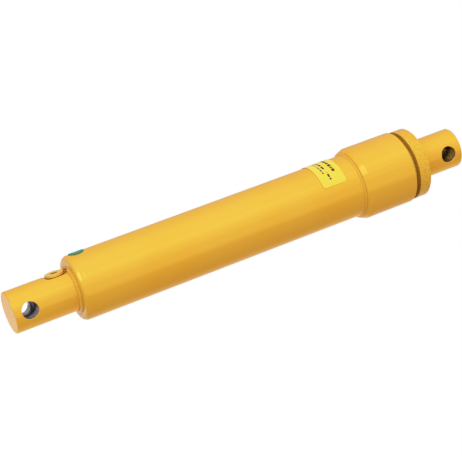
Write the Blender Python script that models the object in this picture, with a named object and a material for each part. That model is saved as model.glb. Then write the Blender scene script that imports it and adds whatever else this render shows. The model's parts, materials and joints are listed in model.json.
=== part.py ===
"""Single-acting hydraulic ram (plough angling cylinder), built piece by piece.

The cylinder lies along X. The origin is the centre of the base pin eye, +X runs towards the ram end,
the base pin runs along Y, and the oil port looks up along +Z.
"""
import math

import bmesh
import bpy
from mathutils import Matrix

MM = 0.001
INCH = 0.0254

# Clearance kept between neighbouring pieces, and how closely built points are merged.
GAP = 0.3 * MM
MERGE_DISTANCE = 0.001 * MM
SHARP_ANGLE = math.radians(30)

# Driving dimensions: inch-series bar, tube and thread sizes.
RAM_R = 1.5 * INCH / 2
PIN_TO_PIN = 17.0 * INCH
STROKE = 10.0 * INCH
PIN_HOLE_R = 7.9 * MM
STUB_R = 19.3 * MM
TUBE_R = 30.1 * MM
TUBE_BORE_R = 25.4 * MM
HOUSING_R = 34.9 * MM
NUT_R = 33.8 * MM

# Stations along X, measured from the base pin.
BASE_END_X = -14.5 * MM
CAP_FACE_X = 45.8 * MM
CAP_INNER_X = 60.8 * MM
STUB_INNER_X = 62.5 * MM
RAM_INNER_X = 64.5 * MM
COLLAR_X = 68.4 * MM
COLLAR_LENGTH = 12.0 * MM
SHOULDER_X = 331.5 * MM
TUBE_END_X = 347.5 * MM
WEB_LENGTH = 5.0 * MM
THREAD_START_X = 372.2 * MM
HOUSING_END_X = 385.4 * MM
NUT_COLLAR_X = 389.8 * MM
NUT_END_X = 401.7 * MM
RAM_END_X = PIN_TO_PIN + 15.1 * MM

# Ends and corners.
STUB_CHAMFER = 1.2 * MM
RAM_CHAMFER = 1.4 * MM
CORNER_LENGTH = 5.0 * MM
CORNER_DEPTH = 3.4 * MM
SHOULDER_LENGTH = 6.5 * MM
EDGE = 0.8 * MM
RAM_TURN = math.radians(4.4)

# Welds. The crown is where a fillet's face bulges, as shares of its two legs.
WELD_LEG_X = 1.9 * MM
WELD_LEG_R = 2.8 * MM
WELD_CROWN = (0.35, 0.62)
SEAM_R = 25.3 * MM
SEAM_HALF = 1.3 * MM
SEAM_DEPTH = 1.65 * MM
SEAM_CLEARANCE = 0.35 * MM
GLAND_WELD_LEG = 1.6 * MM
GLAND_WELD_RISE = 0.96 * MM

# Oil port and its plug: 9/16-18 straight thread with an O-ring seat.
PORT_X = 33.7 * MM
SPOTFACE_R = 12.0 * MM
SPOTFACE_Z = 17.2 * MM
SEAT_R = 8.2 * MM
SEAT_DEPTH = 2.3 * MM
PORT_THREAD_R = 7.0 * MM
PORT_THREAD_END_Z = 5.5 * MM
PORT_DRILL_R = 4.0 * MM
PASSAGE_R = 3.6 * MM
PLUG_HEAD_R = 8.75 * MM
LAND_R = PLUG_HEAD_R + GAP
LAND_DEPTH = 0.1 * MM
PLUG_HEAD_H = 2.5 * MM
PLUG_NECK_R = 5.6 * MM
PLUG_NECK_OVERRUN = 0.2 * MM
PLUG_THREAD_R = 6.6 * MM
PLUG_LENGTH = 9.9 * MM
HEX_ACROSS_FLATS = 0.25 * INCH
HEX_DEPTH = 5.0 * MM
O_RING_R = 6.95 * MM
O_RING_SECTION_R = 0.95 * MM

# Gland: guide bushing, V-packing and packing nut.
WEB_BORE_R = 22.6 * MM
CHAMBER_R = 25.5 * MM
HOUSING_THREAD_R = 28.45 * MM
BUSH_FLANGE = 2.0 * MM
V_RING_COUNT = 4
V_RING_LENGTH = 2.2 * MM
V_DEPTH = 1.8 * MM
V_GAP = 0.35 * MM
MALE_LENGTH = 2.5 * MM
FEMALE_LENGTH = 4.0 * MM
NUT_NECK_R = 28.1 * MM
NUT_RELIEF_R = 27.2 * MM
NUT_BORE_R = 19.5 * MM
WIPER_POCKET_R = 24.0 * MM
WIPER_POCKET_DEPTH = 6.5 * MM
WIPER_LIP = 1.5 * MM
WIPER_INSET = 0.5 * MM
WIPER_LIP_ROOT = 2.2 * MM
WIPER_LIP_TIP = 0.6 * MM
WIPER_RELIEF = 0.8 * MM
SPANNER_HOLES = 4
SPANNER_HOLE_R = 3.2 * MM
SPANNER_HOLE_DEPTH = 6.0 * MM
SPANNER_CIRCLE_R = 28.9 * MM

# Inner end of the ram.
SPIGOT_R = 16.0 * MM
COLLAR_R = 24.6 * MM
SNAP_GROOVE_X = 66.1 * MM
SNAP_GROOVE_WIDTH = 2.0 * MM
SNAP_GROOVE_R = 14.6 * MM
SNAP_R = 18.6 * MM
WEAR_GROOVE_X = COLLAR_X + 3.0 * MM
WEAR_GROOVE_WIDTH = 6.2 * MM
WEAR_GROOVE_R = 22.6 * MM
WEAR_R = 25.1 * MM
WEAR_RING_OPENING = 8.0
SNAP_RING_OPENING = 50.0

# Stickers on the barrel.
LABEL_X = (291.9 * MM, 316.4 * MM)
LABEL_ANGLES = (22.5, 157.5)
STICKER_THICKNESS = 0.25 * MM
DOT_X = 58.2 * MM
DOT_ANGLE = 90.5
DOT_R = 7.2 * MM

OUTER_SEGMENTS = 48
INNER_SEGMENTS = 32
SMALL_SEGMENTS = 24
HOLE_SEGMENTS = 16
LABEL_SEGMENTS = 18

# Colour, roughness and metallic value of each finish.
YELLOW_PAINT = ((0.84, 0.50, 0.06), 0.35, 0.0)
BARE_STEEL = ((0.45, 0.44, 0.42), 0.35, 1.0)
SPRING_STEEL = ((0.18, 0.17, 0.16), 0.40, 1.0)
BRONZE = ((0.60, 0.38, 0.15), 0.35, 1.0)
BLACK_RUBBER = ((0.02, 0.02, 0.02), 0.60, 0.0)
PACKING_FABRIC = ((0.30, 0.20, 0.11), 0.75, 0.0)
WIPER_URETHANE = ((0.10, 0.16, 0.30), 0.45, 0.0)
PHENOLIC = ((0.35, 0.16, 0.06), 0.55, 0.0)
YELLOW_LABEL = ((0.90, 0.72, 0.06), 0.40, 0.0)
GREEN_LABEL = ((0.02, 0.26, 0.17), 0.45, 0.0)


def clear_scene():
    for obj in list(bpy.data.objects):
        bpy.data.objects.remove(obj, do_unlink=True)


def add_object(name, bm, finish=None):
    """Turns a bmesh into a named object with its own material."""
    bmesh.ops.remove_doubles(bm, verts=bm.verts, dist=MERGE_DISTANCE)
    bmesh.ops.recalc_face_normals(bm, faces=bm.faces)
    mesh = bpy.data.meshes.new(name)
    bm.to_mesh(mesh)
    bm.free()
    mesh.shade_smooth()
    mesh.set_sharp_from_angle(angle=SHARP_ANGLE)
    obj = bpy.data.objects.new(name, mesh)
    bpy.context.scene.collection.objects.link(obj)
    if finish:
        colour, roughness, metallic = finish
        material = bpy.data.materials.new(name + "_finish")
        material.use_nodes = True
        shader = material.node_tree.nodes["Principled BSDF"]
        shader.inputs["Base Color"].default_value = (*colour, 1.0)
        shader.inputs["Roughness"].default_value = roughness
        shader.inputs["Metallic"].default_value = metallic
        mesh.materials.append(material)
    return obj


def turned(name, profile, finish=None, segments=OUTER_SEGMENTS, start=0.0, end=360.0):
    """Revolves a closed (x, radius) outline about X. A part turn gets flat ends."""
    bm = bmesh.new()
    full = end - start >= 360.0
    steps = segments if full else segments + 1
    rings = []
    for step in range(steps):
        angle = math.radians(start + (end - start) * step / segments)
        across, up = math.cos(angle), math.sin(angle)
        rings.append([bm.verts.new((x, -r * across, r * up)) for x, r in profile])
    count = len(profile)
    for step in range(segments):
        ring, following = rings[step], rings[(step + 1) % steps]
        for i in range(count):
            j = (i + 1) % count
            if profile[i][1] == 0.0 and profile[j][1] == 0.0:
                continue
            bm.faces.new((ring[i], ring[j], following[j], following[i]))
    if not full:
        bm.faces.new(rings[0])
        bm.faces.new(rings[-1])
    return add_object(name, bm, finish)


def quarter_round(x, r, length, depth, steps=4):
    """Points of a rounded corner that rises from (x, r - depth) to (x + length, r)."""
    turns = [math.pi / 2 * i / steps for i in range(steps + 1)]
    return [(x + length * (1 - math.cos(a)), r - depth + depth * math.sin(a)) for a in turns]


def stand_up(obj, x):
    """Turns a piece revolved about X so that it stands along +Z at the given place."""
    obj.rotation_euler = (0.0, -math.pi / 2, 0.0)
    obj.location = (x, 0.0, 0.0)
    return obj


def cut(obj, cutter):
    """Subtracts a hidden cutter from a piece."""
    cutter.hide_render = True
    cutter.display_type = "WIRE"
    modifier = obj.modifiers.new("cut_" + cutter.name, "BOOLEAN")
    modifier.operation = "DIFFERENCE"
    modifier.solver = "EXACT"
    modifier.object = cutter


def bar_cutter(name, radius, low, high, segments=INNER_SEGMENTS):
    """A plain round cutter along X."""
    return turned(name, [(low, 0.0), (low, radius), (high, radius), (high, 0.0)], None, segments)


def pin_cutter(name, x, turn=0.0):
    """A cutter for a cross pin hole along Y, turned about X where the bar itself has spun."""
    cutter = bar_cutter(name, PIN_HOLE_R, -2 * STUB_R, 2 * STUB_R)
    cutter.rotation_euler = (
        Matrix.Rotation(turn, 3, "X") @ Matrix.Rotation(math.pi / 2, 3, "Z")
    ).to_euler()
    cutter.location = (x, 0.0, 0.0)
    return cutter


def port_cutter(name, clearance=0.0):
    """Spotface, shallow land under the plug's head, O-ring seat, thread bore and cross drilling."""
    seat_z = SPOTFACE_Z - SEAT_DEPTH
    profile = [
        (2 * STUB_R, 0.0),
        (2 * STUB_R, SPOTFACE_R + clearance),
        (SPOTFACE_Z, SPOTFACE_R + clearance),
        (SPOTFACE_Z, LAND_R),
        (SPOTFACE_Z - LAND_DEPTH, LAND_R),
        (SPOTFACE_Z - LAND_DEPTH, SEAT_R),
        (seat_z, SEAT_R),
        (seat_z, PORT_THREAD_R),
        (PORT_THREAD_END_Z, PORT_THREAD_R),
        (PORT_THREAD_END_Z - PORT_THREAD_R + PORT_DRILL_R, PORT_DRILL_R),
        (-PORT_DRILL_R, PORT_DRILL_R),
        (-PORT_DRILL_R, 0.0),
    ]
    return stand_up(turned(name, profile), PORT_X)


def base_stub():
    """Solid base bar with the pin eye, the oil port and the drilling into the barrel."""
    profile = [
        (BASE_END_X, 0.0),
        (BASE_END_X, STUB_R - STUB_CHAMFER),
        (BASE_END_X + STUB_CHAMFER, STUB_R),
        (STUB_INNER_X - STUB_CHAMFER, STUB_R),
        (STUB_INNER_X, STUB_R - STUB_CHAMFER),
        (STUB_INNER_X, 0.0),
    ]
    obj = turned("base_stub", profile, YELLOW_PAINT)
    cut(obj, pin_cutter("cutter_base_pin", 0.0))
    cut(obj, port_cutter("cutter_port"))
    cut(obj, bar_cutter("cutter_passage", PASSAGE_R, PORT_X, STUB_INNER_X + 2 * MM, SMALL_SEGMENTS))


def base_cap():
    """Ring that closes the barrel around the base bar."""
    seam_inner = SEAM_R - SEAM_HALF - SEAM_CLEARANCE
    outer = TUBE_BORE_R - GAP
    profile = [
        (CAP_FACE_X, STUB_R + GAP),
        (CAP_FACE_X, seam_inner),
        (CAP_FACE_X + SEAM_DEPTH + GAP, seam_inner + EDGE),
        (CAP_FACE_X + SEAM_DEPTH + GAP, outer),
        (CAP_INNER_X, outer),
        (CAP_INNER_X, STUB_R + GAP),
    ]
    turned("base_cap", profile, YELLOW_PAINT)


def base_weld():
    """Fillet weld between the base bar and the cap, cut away where the port's spotface passes."""
    low_r = STUB_R + GAP
    high_x = CAP_FACE_X - GAP
    crown_x, crown_r = WELD_CROWN
    profile = [
        (high_x - WELD_LEG_X, low_r),
        (high_x - WELD_LEG_X * (1 - crown_x), low_r + WELD_LEG_R * crown_r),
        (high_x, low_r + WELD_LEG_R),
        (high_x, low_r),
    ]
    obj = turned("base_weld", profile, YELLOW_PAINT)
    cut(obj, port_cutter("cutter_weld", GAP))


def cap_weld():
    """Groove weld between the cap and the barrel, ground flush with the end face."""
    profile = [
        (CAP_FACE_X, SEAM_R - SEAM_HALF),
        (CAP_FACE_X, SEAM_R + SEAM_HALF),
        (CAP_FACE_X + SEAM_DEPTH, SEAM_R + SEAM_HALF / 2),
        (CAP_FACE_X + SEAM_DEPTH, SEAM_R - SEAM_HALF / 2),
    ]
    turned("cap_weld", profile, YELLOW_PAINT)


def barrel_tube():
    """Barrel with a rounded base edge, plain bore and a square gland end."""
    groove_x = CAP_FACE_X + SEAM_DEPTH + GAP
    groove_r = SEAM_R + SEAM_HALF / 2 + SEAM_CLEARANCE
    profile = quarter_round(CAP_FACE_X, TUBE_R, CORNER_LENGTH, CORNER_DEPTH)
    profile[0] = (CAP_FACE_X, SEAM_R + SEAM_HALF + SEAM_CLEARANCE)
    profile += [
        (TUBE_END_X, TUBE_R),
        (TUBE_END_X, TUBE_BORE_R),
        (groove_x, TUBE_BORE_R),
        (groove_x, groove_r),
    ]
    turned("barrel_tube", profile, YELLOW_PAINT)


def gland_housing():
    """Sleeve welded over the barrel end: rounded shoulder, web, packing chamber and nut thread."""
    socket_r = TUBE_R + GAP
    web_x = TUBE_END_X + GAP
    profile = [(SHOULDER_X, socket_r)]
    profile += quarter_round(SHOULDER_X, HOUSING_R, SHOULDER_LENGTH, HOUSING_R - socket_r - EDGE)
    profile += [
        (HOUSING_END_X - EDGE, HOUSING_R),
        (HOUSING_END_X, HOUSING_R - EDGE),
        (HOUSING_END_X, HOUSING_THREAD_R + EDGE),
        (HOUSING_END_X - EDGE, HOUSING_THREAD_R),
        (THREAD_START_X, HOUSING_THREAD_R),
        (THREAD_START_X, CHAMBER_R),
        (web_x + WEB_LENGTH, CHAMBER_R),
        (web_x + WEB_LENGTH, WEB_BORE_R),
        (web_x, WEB_BORE_R),
        (web_x, socket_r),
    ]
    turned("gland_housing", profile, YELLOW_PAINT)


def gland_weld():
    """Small fillet weld between the barrel and the gland housing."""
    low_r = TUBE_R + GAP
    high_x = SHOULDER_X - GAP
    profile = [
        (high_x - GLAND_WELD_LEG, low_r),
        (high_x, low_r + GLAND_WELD_RISE),
        (high_x, low_r),
    ]
    turned("gland_weld", profile, YELLOW_PAINT)


def guide_bushing():
    """Flanged bronze bushing that guides the ram and stops its collar at full stroke."""
    left = COLLAR_X + COLLAR_LENGTH + STROKE + GAP
    flange_x = TUBE_END_X + WEB_LENGTH + 2 * GAP
    inner = RAM_R + GAP
    profile = [
        (left, inner),
        (left, WEB_BORE_R - GAP),
        (flange_x, WEB_BORE_R - GAP),
        (flange_x, CHAMBER_R - GAP),
        (flange_x + BUSH_FLANGE, CHAMBER_R - GAP),
        (flange_x + BUSH_FLANGE, inner),
    ]
    turned("guide_bushing", profile, BRONZE, INNER_SEGMENTS)
    return flange_x + BUSH_FLANGE + GAP


def packing_set(x):
    """Male adaptor, V rings with their lips towards the oil, and female adaptor, from x onwards."""
    inner, outer = RAM_R + GAP, CHAMBER_R - GAP
    middle = (inner + outer) / 2
    male = [
        (x, inner),
        (x, outer),
        (x + MALE_LENGTH, outer),
        (x + MALE_LENGTH + V_DEPTH, middle),
        (x + MALE_LENGTH, inner),
    ]
    turned("packing_male_adaptor", male, PACKING_FABRIC, INNER_SEGMENTS)
    x += MALE_LENGTH + V_GAP
    for number in range(1, V_RING_COUNT + 1):
        chevron = [
            (x, inner),
            (x + V_DEPTH, middle),
            (x, outer),
            (x + V_RING_LENGTH, outer),
            (x + V_RING_LENGTH + V_DEPTH, middle),
            (x + V_RING_LENGTH, inner),
        ]
        turned(f"v_ring_{number}", chevron, PACKING_FABRIC, INNER_SEGMENTS)
        x += V_RING_LENGTH + V_GAP
    female = [
        (x, inner),
        (x + V_DEPTH, middle),
        (x, outer),
        (x + FEMALE_LENGTH, outer),
        (x + FEMALE_LENGTH, inner),
    ]
    turned("packing_female_adaptor", female, PACKING_FABRIC, INNER_SEGMENTS)
    return x + FEMALE_LENGTH + GAP


def packing_nut(x):
    """Round nut: threaded neck, relief under the collar, wiper pocket and pin-spanner holes."""
    pocket_x = NUT_END_X - WIPER_POCKET_DEPTH
    profile = [
        (x, NUT_BORE_R),
        (x, NUT_NECK_R - EDGE),
        (x + EDGE, NUT_NECK_R),
        (HOUSING_END_X, NUT_NECK_R),
        (HOUSING_END_X + EDGE, NUT_RELIEF_R),
        (NUT_COLLAR_X, NUT_RELIEF_R),
        (NUT_COLLAR_X, NUT_R - EDGE),
        (NUT_COLLAR_X + EDGE, NUT_R),
        (NUT_END_X - EDGE, NUT_R),
        (NUT_END_X, NUT_R - EDGE),
        (NUT_END_X, WIPER_POCKET_R),
        (pocket_x, WIPER_POCKET_R),
        (pocket_x, NUT_BORE_R),
    ]
    obj = turned("packing_nut", profile, YELLOW_PAINT)
    for number in range(SPANNER_HOLES):
        angle = 2 * math.pi * (number + 0.5) / SPANNER_HOLES
        cutter = bar_cutter(
            f"cutter_spanner_{number}",
            SPANNER_HOLE_R,
            NUT_END_X - SPANNER_HOLE_DEPTH,
            NUT_END_X + SPANNER_HOLE_DEPTH,
            HOLE_SEGMENTS,
        )
        cutter.location = (0.0, SPANNER_CIRCLE_R * math.cos(angle), SPANNER_CIRCLE_R * math.sin(angle))
        cut(obj, cutter)


def rod_wiper():
    """Wiper in the nut's pocket, with a lip that leans onto the ram."""
    back = NUT_END_X - WIPER_POCKET_DEPTH + GAP
    inner, outer = RAM_R + GAP, WIPER_POCKET_R - GAP
    profile = [
        (back, inner + WIPER_RELIEF),
        (back, outer),
        (NUT_END_X - WIPER_INSET, outer),
        (NUT_END_X - WIPER_INSET, inner + WIPER_LIP_ROOT),
        (NUT_END_X + WIPER_LIP, inner + WIPER_LIP_TIP),
        (NUT_END_X + WIPER_LIP, inner),
        (NUT_END_X - WIPER_LIP, inner + WIPER_RELIEF),
    ]
    turned("rod_wiper", profile, WIPER_URETHANE, INNER_SEGMENTS)


def ram():
    """Solid ram with the pin eye at its outer end and a stepped, grooved spigot at its inner end."""
    groove_end = SNAP_GROOVE_X + SNAP_GROOVE_WIDTH
    profile = [
        (RAM_INNER_X, 0.0),
        (RAM_INNER_X, SPIGOT_R - EDGE),
        (RAM_INNER_X + EDGE, SPIGOT_R),
        (SNAP_GROOVE_X, SPIGOT_R),
        (SNAP_GROOVE_X, SNAP_GROOVE_R),
        (groove_end, SNAP_GROOVE_R),
        (groove_end, SPIGOT_R),
        (COLLAR_X + COLLAR_LENGTH + GAP, SPIGOT_R),
        (COLLAR_X + COLLAR_LENGTH + GAP, RAM_R),
        (RAM_END_X - RAM_CHAMFER, RAM_R),
        (RAM_END_X, RAM_R - RAM_CHAMFER),
        (RAM_END_X, 0.0),
    ]
    obj = turned("ram", profile, YELLOW_PAINT)
    cut(obj, pin_cutter("cutter_ram_pin", PIN_TO_PIN, RAM_TURN))


def stop_collar():
    """Steel collar on the spigot, which carries the wear ring and limits the stroke."""
    right = COLLAR_X + COLLAR_LENGTH
    groove_end = WEAR_GROOVE_X + WEAR_GROOVE_WIDTH
    profile = [
        (COLLAR_X, SPIGOT_R + GAP),
        (COLLAR_X, COLLAR_R - EDGE),
        (COLLAR_X + EDGE, COLLAR_R),
        (WEAR_GROOVE_X, COLLAR_R),
        (WEAR_GROOVE_X, WEAR_GROOVE_R),
        (groove_end, WEAR_GROOVE_R),
        (groove_end, COLLAR_R),
        (right - EDGE, COLLAR_R),
        (right, COLLAR_R - EDGE),
        (right, SPIGOT_R + GAP),
    ]
    turned("stop_collar", profile, BARE_STEEL, INNER_SEGMENTS)


def split_ring(name, groove_x, groove_width, groove_r, outer, opening, finish):
    """Flat ring in a groove, with a gap of some degrees at the bottom, as split rings have."""
    low_x, high_x, inner = groove_x + GAP, groove_x + groove_width - GAP, groove_r + GAP
    profile = [(low_x, inner), (low_x, outer), (high_x, outer), (high_x, inner)]
    turned(name, profile, finish, INNER_SEGMENTS, -90 + opening / 2, 270 - opening / 2)


def wear_ring():
    """Phenolic guide ring on the stop collar."""
    split_ring(
        "wear_ring", WEAR_GROOVE_X, WEAR_GROOVE_WIDTH, WEAR_GROOVE_R, WEAR_R, WEAR_RING_OPENING, PHENOLIC
    )


def snap_ring():
    """Retaining ring that holds the stop collar on the ram's spigot."""
    split_ring(
        "snap_ring", SNAP_GROOVE_X, SNAP_GROOVE_WIDTH, SNAP_GROOVE_R, SNAP_R, SNAP_RING_OPENING, SPRING_STEEL
    )


def port_plug():
    """Hollow-hex port plug: flanged head, O-ring neck and threaded shank, origin on its axis."""
    head = SPOTFACE_Z + GAP
    neck_end = SPOTFACE_Z - SEAT_DEPTH + PLUG_NECK_OVERRUN
    tip = head - PLUG_LENGTH
    top = head + PLUG_HEAD_H
    profile = [
        (tip, 0.0),
        (tip, PLUG_THREAD_R - EDGE),
        (tip + EDGE, PLUG_THREAD_R),
        (neck_end, PLUG_THREAD_R),
        (neck_end, PLUG_NECK_R),
        (head, PLUG_NECK_R),
        (head, PLUG_HEAD_R),
        (top - EDGE / 2, PLUG_HEAD_R),
        (top, PLUG_HEAD_R - EDGE / 2),
        (top, 0.0),
    ]
    obj = stand_up(turned("port_plug", profile, YELLOW_PAINT, INNER_SEGMENTS), PORT_X)
    socket = bar_cutter("cutter_hex", HEX_ACROSS_FLATS / math.sqrt(3), top - HEX_DEPTH, top + EDGE, 6)
    cut(obj, stand_up(socket, PORT_X))


def plug_o_ring():
    """O-ring under the plug head, origin on the plug's axis."""
    centre_z = SPOTFACE_Z - SEAT_DEPTH / 2 + GAP / 2
    corners = [math.radians(45 * i) for i in range(8)]
    profile = [
        (centre_z - O_RING_SECTION_R * math.cos(a), O_RING_R + O_RING_SECTION_R * math.sin(a))
        for a in corners
    ]
    stand_up(turned("plug_o_ring", profile, BLACK_RUBBER, SMALL_SEGMENTS), PORT_X)


def barrel_label():
    """Blank label wrapped over the top of the barrel."""
    inner = TUBE_R + GAP
    outer = inner + STICKER_THICKNESS
    profile = [(LABEL_X[0], inner), (LABEL_X[0], outer), (LABEL_X[1], outer), (LABEL_X[1], inner)]
    turned("barrel_label", profile, YELLOW_LABEL, LABEL_SEGMENTS, *LABEL_ANGLES)


def inspection_dot(rings=3, segments=SMALL_SEGMENTS):
    """Round sticker bent over the top of the barrel: two curved discs joined at their rim."""
    bm = bmesh.new()

    def on_barrel(distance, angle, radius):
        around = math.radians(DOT_ANGLE) + distance * math.sin(angle) / TUBE_R
        x = DOT_X + distance * math.cos(angle)
        return bm.verts.new((x, -radius * math.cos(around), radius * math.sin(around)))

    rims = []
    for radius in (TUBE_R + GAP, TUBE_R + GAP + STICKER_THICKNESS):
        previous = [on_barrel(0.0, 0.0, radius)] * segments
        for ring in range(1, rings + 1):
            distance = DOT_R * ring / rings
            current = [on_barrel(distance, 2 * math.pi * i / segments, radius) for i in range(segments)]
            for i in range(segments):
                j = (i + 1) % segments
                corners = [previous[i], current[i], current[j], previous[j]]
                bm.faces.new(corners[:3] if ring == 1 else corners)
            previous = current
        rims.append(previous)
    for i in range(segments):
        j = (i + 1) % segments
        bm.faces.new((rims[0][i], rims[0][j], rims[1][j], rims[1][i]))
    add_object("inspection_dot", bm, GREEN_LABEL)


def build():
    clear_scene()
    base_stub()
    base_cap()
    base_weld()
    cap_weld()
    barrel_tube()
    gland_housing()
    gland_weld()
    packing_x = guide_bushing()
    nut_x = packing_set(packing_x)
    packing_nut(nut_x)
    rod_wiper()
    ram()
    stop_collar()
    wear_ring()
    snap_ring()
    port_plug()
    plug_o_ring()
    barrel_label()
    inspection_dot()


build()
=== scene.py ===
"""Looks of the hydraulic ram: fine meshes, finishes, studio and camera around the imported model.

Outlines are in millimetres along the cylinder's axis (x) and out from it (r). Meshes are in metres.
Angles around the axis start at -Y and grow towards +Z.
"""
import json
import math
import random

import bmesh
import bpy
from mathutils import Matrix, Vector


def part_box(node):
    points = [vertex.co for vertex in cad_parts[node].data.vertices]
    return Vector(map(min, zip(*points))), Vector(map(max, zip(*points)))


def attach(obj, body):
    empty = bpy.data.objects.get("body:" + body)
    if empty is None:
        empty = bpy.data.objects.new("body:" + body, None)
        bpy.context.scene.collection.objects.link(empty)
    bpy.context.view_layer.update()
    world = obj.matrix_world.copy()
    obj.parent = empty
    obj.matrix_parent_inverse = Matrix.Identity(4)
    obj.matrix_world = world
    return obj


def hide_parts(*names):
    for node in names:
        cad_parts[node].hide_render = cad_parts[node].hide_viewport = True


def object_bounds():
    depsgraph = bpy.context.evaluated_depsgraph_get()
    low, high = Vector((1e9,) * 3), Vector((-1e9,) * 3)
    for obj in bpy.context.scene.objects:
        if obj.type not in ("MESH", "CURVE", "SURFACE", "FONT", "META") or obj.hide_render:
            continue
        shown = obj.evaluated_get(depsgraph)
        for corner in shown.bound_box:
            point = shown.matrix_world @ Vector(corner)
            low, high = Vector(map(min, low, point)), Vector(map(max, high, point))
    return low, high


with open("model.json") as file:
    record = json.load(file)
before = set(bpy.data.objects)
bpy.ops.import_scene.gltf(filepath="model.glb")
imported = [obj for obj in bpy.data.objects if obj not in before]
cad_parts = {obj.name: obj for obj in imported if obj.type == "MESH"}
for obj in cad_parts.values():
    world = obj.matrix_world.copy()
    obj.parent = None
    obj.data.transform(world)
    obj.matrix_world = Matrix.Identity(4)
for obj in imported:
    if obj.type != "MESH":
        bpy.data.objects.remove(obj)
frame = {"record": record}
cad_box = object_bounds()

MM = 0.001
FULL_TURN = 2 * math.pi
SHARP_ANGLE = math.radians(32)

# Steps around a turned piece, and along the arc of a rounded corner.
SEGMENTS = 144
FINE_SEGMENTS = 192
SMALL_SEGMENTS = 72
ARC_STEPS = 5

RECORD = frame["record"]
BODY_OF = {node: body for body, nodes in RECORD["behaviour"]["bodies"].items() for node in nodes}
COUPLING = {rule["joint"]: rule["ratio"] for rule in RECORD["behaviour"]["couplings"]}
EYE_BOX = {opening["name"]: opening["box_m"] for opening in RECORD["physics"]["openings"]}["ram_pin_eye"]


def extent(node):
    """(low x, high x, outer radius) in mm of a CAD node that is turned about the cylinder's axis."""
    low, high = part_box(node)
    return low.x / MM, high.x / MM, high.z / MM


def middle_x(node):
    """Station in mm of the middle of a CAD node."""
    low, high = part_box(node)
    return (low.x + high.x) / 2 / MM


def lead_of(joint):
    """Travel in mm for one turn of a thread, from the coupling's radians for each metre."""
    return FULL_TURN / COUPLING[joint] / MM


# Places that several pieces share, in mm.
STUB_LOW, STUB_HIGH, STUB_R = extent("base_stub")
CAP_LOW, CAP_HIGH, _ = extent("base_cap")
SEAM_LOW, SEAM_HIGH, SEAM_R = extent("cap_weld")
TUBE_LOW, TUBE_HIGH, TUBE_R = extent("barrel_tube")
HOUSING_LOW, HOUSING_HIGH, HOUSING_R = extent("gland_housing")
NUT_LOW, NUT_HIGH, NUT_R = extent("packing_nut")
RAM_LOW, RAM_HIGH, RAM_R = extent("ram")
COLLAR_LOW, COLLAR_HIGH, COLLAR_R = extent("stop_collar")
PORT_X = middle_x("plug_o_ring")
PLUG_LOW, PLUG_HIGH = (corner.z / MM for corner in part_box("port_plug"))

# Clearance between neighbours, and the gap that paint closes to.
GAP = 0.3
TOUCH = 0.04

# Pin eyes. The ram is turned a little about its axis at rest.
PIN_HOLE_R = 7.65
LIP = 0.55
RAM_EYE_X = sum(corner[0] for corner in EYE_BOX) / 2 / MM
RAM_TURN = math.radians(4.4)

# Barrel, gland housing and packing nut, in mm. The seam is the groove weld between cap and barrel.
TUBE_BORE_R = 25.4
SEAM_DEPTH = 2.6
RIM = HOUSING_HIGH - 0.9
CHAMBER_R = 25.5
WEB_BORE_R = 22.6
WEB_LENGTH = 5.0
THREAD_R = 28.45
THREAD_START = 372.2
NUT_FACE = NUT_HIGH - 0.8
NUT_COLLAR = NUT_HIGH - 12.5
NUT_NECK_R = 28.1
NUT_RELIEF_R = 27.2
NUT_BORE_R = 19.5
WIPER_POCKET = NUT_HIGH - 6.5
WIPER_POCKET_R = 24.0
SPANNER_HOLES = 4
SPANNER_HOLE_R = 3.2
SPANNER_CIRCLE_R = 28.9

# Ram's inner end and the rings around it, in mm.
SPIGOT_R = 16.0
SNAP_GROOVE_R = 14.6
WEAR_GROOVE_R = 22.6
BUSH_R = 22.3
BUSH_FLANGE = 2.0
V_RINGS = 4
V_DEPTH = 1.8

# Oil port and its plug, in mm. Heights are above the cylinder's axis.
SPOTFACE_R = 12.0
SPOTFACE_Z = 17.2
SEAT_R = 8.2
SEAT_Z = 14.9
PORT_THREAD_R = 7.0
PORT_THREAD_END_Z = 5.5
PORT_DRILL_R = 4.0
PASSAGE_R = 3.6
PLUG_HEAD_R = 8.75
PLUG_HEAD_Z = PLUG_HIGH - 2.5
PLUG_NECK_R = 5.6
PLUG_THREAD_R = 6.6
HEX_R = 6.35 / math.sqrt(3)
O_RING_R = 6.95
O_RING_SECTION_R = 0.95

# Stickers, in mm. Both have the label's outer radius.
# A row of bars is (distance from the label's edge, height, first and last angle in degrees).
STICKER_R = extent("barrel_label")[2]
LABEL_ARC = math.radians(135)
LABEL_CORNER_R = 3.0
INK = 0.06
BAR_ROWS = (
    (7.0, 1.3, 49, 91), (10.5, 2.0, 34, 50), (10.5, 2.0, 60, 106),
    (17.7, 3.1, 48, 106), (13.7, 1.0, 112, 150), (8.3, 1.4, 112, 146),
)
DOT_ANGLE = math.radians(90.5)


# ---------------------------------------------------------------- outlines

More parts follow.
